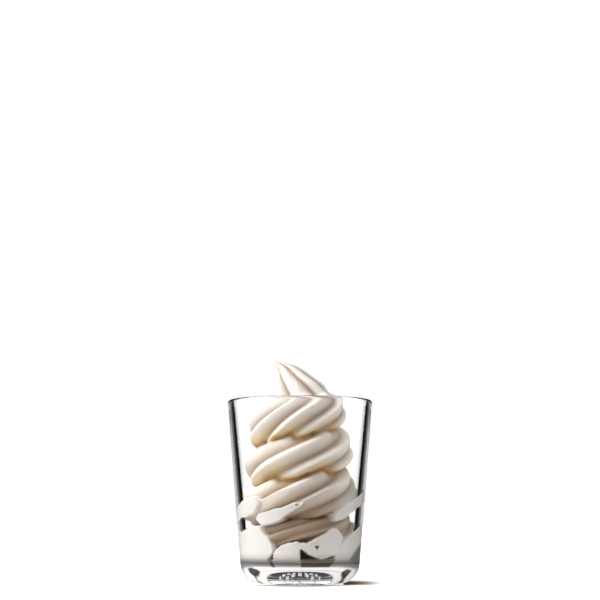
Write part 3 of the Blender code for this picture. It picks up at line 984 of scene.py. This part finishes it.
# %% The soft serve's grain and softness
place = node(tree, "ShaderNodeTexCoord").outputs["Object"]
grain = node(tree, "ShaderNodeTexNoise", {"Vector": place, "Scale": 700.0, "Detail": 4.0, "Roughness": 0.6})
grain_height = math_node(tree, "MULTIPLY", grain.outputs["Fac"], free)
bump = node(tree, "ShaderNodeBump", {"Height": grain_height, "Strength": 0.35, "Distance": 0.0004})
tree.links.new(bump.outputs["Normal"], shader.inputs["Normal"])
set_sockets(shader, {
    "Roughness": 0.6,
    "Specular IOR Level": 0.25,
    "Subsurface Weight": 0.2,
    "Subsurface Radius": (1.0, 0.6, 0.35),
    "Subsurface Scale": 0.0025,
})
cream_mesh.materials.append(cream_material)
print("soft_serve_cream made")

# %% [markdown]
# ## The studio's light
# The photo looks like a white studio: the background is pure white, the light comes from a soft
# box at the upper left in front, and the backdrop glows. One world can't look right to every
# ray, because a white room washes out both the ice cream and the dark lines of the glass. So
# the world tells the rays apart by their light path. Rays from the camera see white. Rays that
# the ice cream has scattered see the soft box and the backdrop. Rays that the glass mirrors
# see panels with dark gaps, which draw the lines in its base. Real cards round the glass would
# show through it.

# %% The world, and the direction of each ray
world = bpy.data.worlds.new("studio")
bpy.context.scene.world = world
world.use_nodes = True
world.cycles.sampling_method = "NONE"
tree = world.node_tree
direction = node(tree, "ShaderNodeTexCoord").outputs["Generated"]
split = node(tree, "ShaderNodeSeparateXYZ", {0: direction})
path = node(tree, "ShaderNodeLightPath")
across = math_node(tree, "ARCTAN2", split.outputs["X"], split.outputs["Y"])
from_behind = centred(tree, split.outputs["Y"])
print("world 'studio' made")

# %% What the ice cream sees: a soft box in front and a glow behind
SOFTBOX = (-0.47, -0.52, 0.71)
BOX_LIGHT = ((0.0, (0.05, 0.03, 0.015)), (0.5, (0.09, 0.06, 0.04)), (0.68, 0.18), (0.83, 0.8), (1.0, 1.2))
BACK_LIGHT = ((0.5, 0.0), (0.65, 0.35), (0.8, 0.95), (1.0, 1.1))
softbox = node(tree, "ShaderNodeVectorMath", {0: direction, 1: SOFTBOX}, operation="DOT_PRODUCT")
box_light = ramp_node(tree, centred(tree, softbox.outputs["Value"]), BOX_LIGHT)
back_light = ramp_node(tree, from_behind, BACK_LIGHT)
ambient = blend(tree, 1.0, box_light, back_light, "LIGHTEN")
print("soft box towards", SOFTBOX)

# %% What the glass mirrors: panels by the degrees from the nearest axis, up to 45
EIGHTH = 45.0
STEEP_DOWN = -0.34
PANELS = ((0.0, 1.0), (10.0, 1.0), (24.0, 0.1), (33.0, 0.02), (36.0, 0.0))
OVERHEAD = ((0.0, (0.05, 0.06, 0.08)), (22.0, (0.06, 0.07, 0.09)), (27.0, 1.0), (34.0, 1.0), (38.0, 0.0))
TABLE = ((0.0, 1.0), (36.0, 1.0), (42.0, 0.1), (45.0, 0.0))
FRONT_OFF = ((0.0, 0.06), (0.3, 0.06), (0.38, 1.0))
ON_GLASS = ((0.0, 0.0), (0.93, 0.0), (0.98, 0.3), (1.0, 0.5))
quarter = math_node(tree, "PINGPONG", across, math.pi / 4.0)
off_axis = math_node(tree, "MULTIPLY", quarter, 180.0 / math.pi / EIGHTH)
panels = ramp_node(tree, off_axis, PANELS, EIGHTH)
overhead = ramp_node(tree, off_axis, OVERHEAD, EIGHTH)
table = ramp_node(tree, off_axis, TABLE, EIGHTH)
above = math_node(tree, "GREATER_THAN", split.outputs["Z"], 0.0)
steep = math_node(tree, "LESS_THAN", split.outputs["Z"], STEEP_DOWN)
all_round = blend(tree, steep, blend(tree, above, panels, overhead), table)
in_glass = blend(tree, 1.0, all_round, ramp_node(tree, from_behind, FRONT_OFF), "MULTIPLY")
outside = math_node(tree, "LESS_THAN", path.outputs["Transmission Depth"], 0.5)
mirrored = blend(tree, outside, in_glass, ramp_node(tree, from_behind, ON_GLASS))
print("panels with gaps from", PANELS[-1][0], "degrees")

# %% What the camera sees: white, and brighter at the sides through the glass
HALF_TURN = 180.0
THROUGH = ((0.0, 1.1), (5.0, 1.15), (12.0, 1.6), (60.0, 1.6))
aside = math_node(tree, "ABSOLUTE", math_node(tree, "DIVIDE", across, math.pi))
white = blend(tree, outside, ramp_node(tree, aside, THROUGH, HALF_TURN), WHITE)
seen = blend(tree, bounced(tree, path, "Glossy"), white, mirrored)
lit = blend(tree, bounced(tree, path, "Diffuse"), seen, ambient)
tree.links.new(lit, tree.nodes["Background"].inputs["Color"])
print("world shows white, panels or soft box by light path")

# %% [markdown]
# ## The floor
# The glass stands on a white table, with a thin dark contact shadow where it touches and a short
# brown shadow to its right. The floor glows by itself, so that it stays about as white as the
# background, and both shadows are painted on it. It lies a fiftieth of a millimetre above
# the foot ring's underside, so that no film of air shows there. Mirrored rays pass it, except
# right under the foot, and see the world below. To rays that the ice cream scatters it is
# bright under the glass and brown further out.

# %% A white floor that belongs to the stage
FLOOR_SIZE = 4.0
FLOOR_RISE = 0.00002
half = FLOOR_SIZE / 2.0
corners = [(x, y, FLOOR_RISE) for x, y in ((-half, -half), (half, -half), (half, half), (-half, half))]
floor_mesh = bpy.data.meshes.new("floor")
floor_mesh.from_pydata(corners, [], [(0, 1, 2, 3)])
floor = bpy.data.objects.new("floor", floor_mesh)
bpy.context.scene.collection.objects.link(floor)
print("floor of", FLOOR_SIZE, "m")

# %% Where its shadow lies: ramps over tenths of a metre, and front to back over metres * 5 + 0.5
TENTHS = 10.0
FRONT_TO_BACK = 5.0
CONTACT_SHADOW = (
    (0.212, 1.0), (0.218, (0.08, 0.07, 0.06)), (0.27, (0.13, 0.11, 0.10)), (0.33, (0.6, 0.57, 0.55)),
    (0.42, 1.0))
FADE_RIGHT = (
    (0.215, 1.0), (0.23, (0.05, 0.025, 0.02)), (0.276, (0.076, 0.039, 0.03)), (0.31, (0.147, 0.087, 0.063)),
    (0.35, (0.287, 0.212, 0.174)), (0.39, (0.52, 0.456, 0.423)), (0.43, (0.75, 0.72, 0.70)), (0.51, 1.0))
FADE_BACK = ((0.39, 0.0), (0.46, 1.0), (0.56, 1.0), (0.68, 0.0))
floor_material, tree, shader = new_material("white_floor")
floor_place = node(tree, "ShaderNodeTexCoord").outputs["Object"]
floor_split = node(tree, "ShaderNodeSeparateXYZ", {0: floor_place})
distance = node(tree, "ShaderNodeVectorMath", {0: floor_place}, operation="LENGTH")
floor_reach = math_node(tree, "MULTIPLY", distance.outputs["Value"], TENTHS)
floor_x = math_node(tree, "MULTIPLY", floor_split.outputs["X"], TENTHS)
floor_y = centred(tree, floor_split.outputs["Y"], FRONT_TO_BACK)
# painted contact shadow in a ring round the foot, and painted shadow to the right
contact = ramp_node(tree, floor_reach, CONTACT_SHADOW)
fade_right = ramp_node(tree, floor_x, FADE_RIGHT)
shadow = blend(tree, ramp_node(tree, floor_y, FADE_BACK), contact, fade_right)
print("shadow out to", FADE_RIGHT[-1][0] / TENTHS / MM, "mm on the right")

# %% How it glows, and which rays pass it
FLOOR_WHITE = (0.9, 0.9, 0.9, 1.0)
FLOOR_GLOW = (0.8, 0.8, 0.8, 1.0)
UNDER_GLASS = ((0.0, 1.6), (0.30, 1.5), (0.36, (0.24, 0.15, 0.07)))
FOOT_REACH = 0.24
floor_path = node(tree, "ShaderNodeLightPath")
scattered = bounced(tree, floor_path, "Diffuse")
glow = blend(tree, scattered, FLOOR_GLOW, ramp_node(tree, floor_reach, UNDER_GLASS))
tree.links.new(blend(tree, 1.0, glow, shadow, "MULTIPLY"), shader.inputs["Emission Color"])
tree.links.new(blend(tree, 1.0, FLOOR_WHITE, shadow, "MULTIPLY"), shader.inputs["Base Color"])
set_sockets(shader, {"Roughness": 1.0, "Specular IOR Level": 0.0, "Emission Strength": 1.0})
beyond_foot = math_node(tree, "GREATER_THAN", floor_reach, FOOT_REACH)
passes = math_node(tree, "MULTIPLY", bounced(tree, floor_path, "Glossy"), beyond_foot)
open_floor = node(tree, "ShaderNodeBsdfTransparent")
floor_mix = node(tree, "ShaderNodeMixShader", {0: passes, 1: shader.outputs[0], 2: open_floor.outputs[0]})
tree.links.new(floor_mix.outputs[0], tree.nodes["Material Output"].inputs["Surface"])
floor_material.cycles.emission_sampling = "NONE"
floor_mesh.materials.append(floor_material)
print("white_floor made")

# %% [markdown]
# ## Lamps
# The world's soft box is too even to shape the flutes, so a small, stronger lamp stands in the
# same quarter, at the upper left, and a weak one at the right lifts the darkest side.

# %% A key lamp at the left and a fill at the right
LAMP_AIM = Vector((0, 0, 0.06))


def area_lamp(name, place, size, watts, colour):
    """A square lamp at a place, turned to the middle of the glass."""
    lamp = bpy.data.lights.new(name, "AREA")
    lamp.size = size
    lamp.energy = watts
    lamp.color = colour
    lamp_object = bpy.data.objects.new(name, lamp)
    bpy.context.scene.collection.objects.link(lamp_object)
    lamp_object.location = place
    lamp_object.rotation_mode = "QUATERNION"
    lamp_object.rotation_quaternion = (LAMP_AIM - Vector(place)).to_track_quat("-Z", "Y")
    print(name, watts, "W")


area_lamp("key_left", (-0.6, -0.2, 0.7), 0.3, 4.8, (1.0, 0.995, 0.98))
area_lamp("fill_right", (0.7, 0.1, 0.35), 0.4, 0.7, (0.97, 0.98, 1.0))

# %% [markdown]
# ## Camera
# The camera stands three quarters of a metre away, a little lower than the middle of the glass,
# so the rim is a thin ellipse. It tilts up, because the photo has the glass at its lower edge.
# The colours go out as they are, with no film look over them, so that white stays white.

# %% The camera
CAMERA_DISTANCE = 0.750
CAMERA_HEIGHT = 0.0415
CAMERA_PITCH = math.radians(8.1955)
CAMERA_LENS = 84.57
SENSOR_WIDTH = 36.0
camera_data = bpy.data.cameras.new("camera")
camera_data.lens = CAMERA_LENS
camera_data.sensor_width = SENSOR_WIDTH
camera = bpy.data.objects.new("camera", camera_data)
bpy.context.scene.collection.objects.link(camera)
camera.location = (0.0, -CAMERA_DISTANCE, CAMERA_HEIGHT)
camera.rotation_euler = (math.pi / 2.0 + CAMERA_PITCH, 0.0, 0.0)
bpy.context.scene.camera = camera
bpy.context.scene.view_settings.view_transform = "Standard"
print("camera", CAMERA_DISTANCE, "m in front, lens", CAMERA_LENS, "mm")
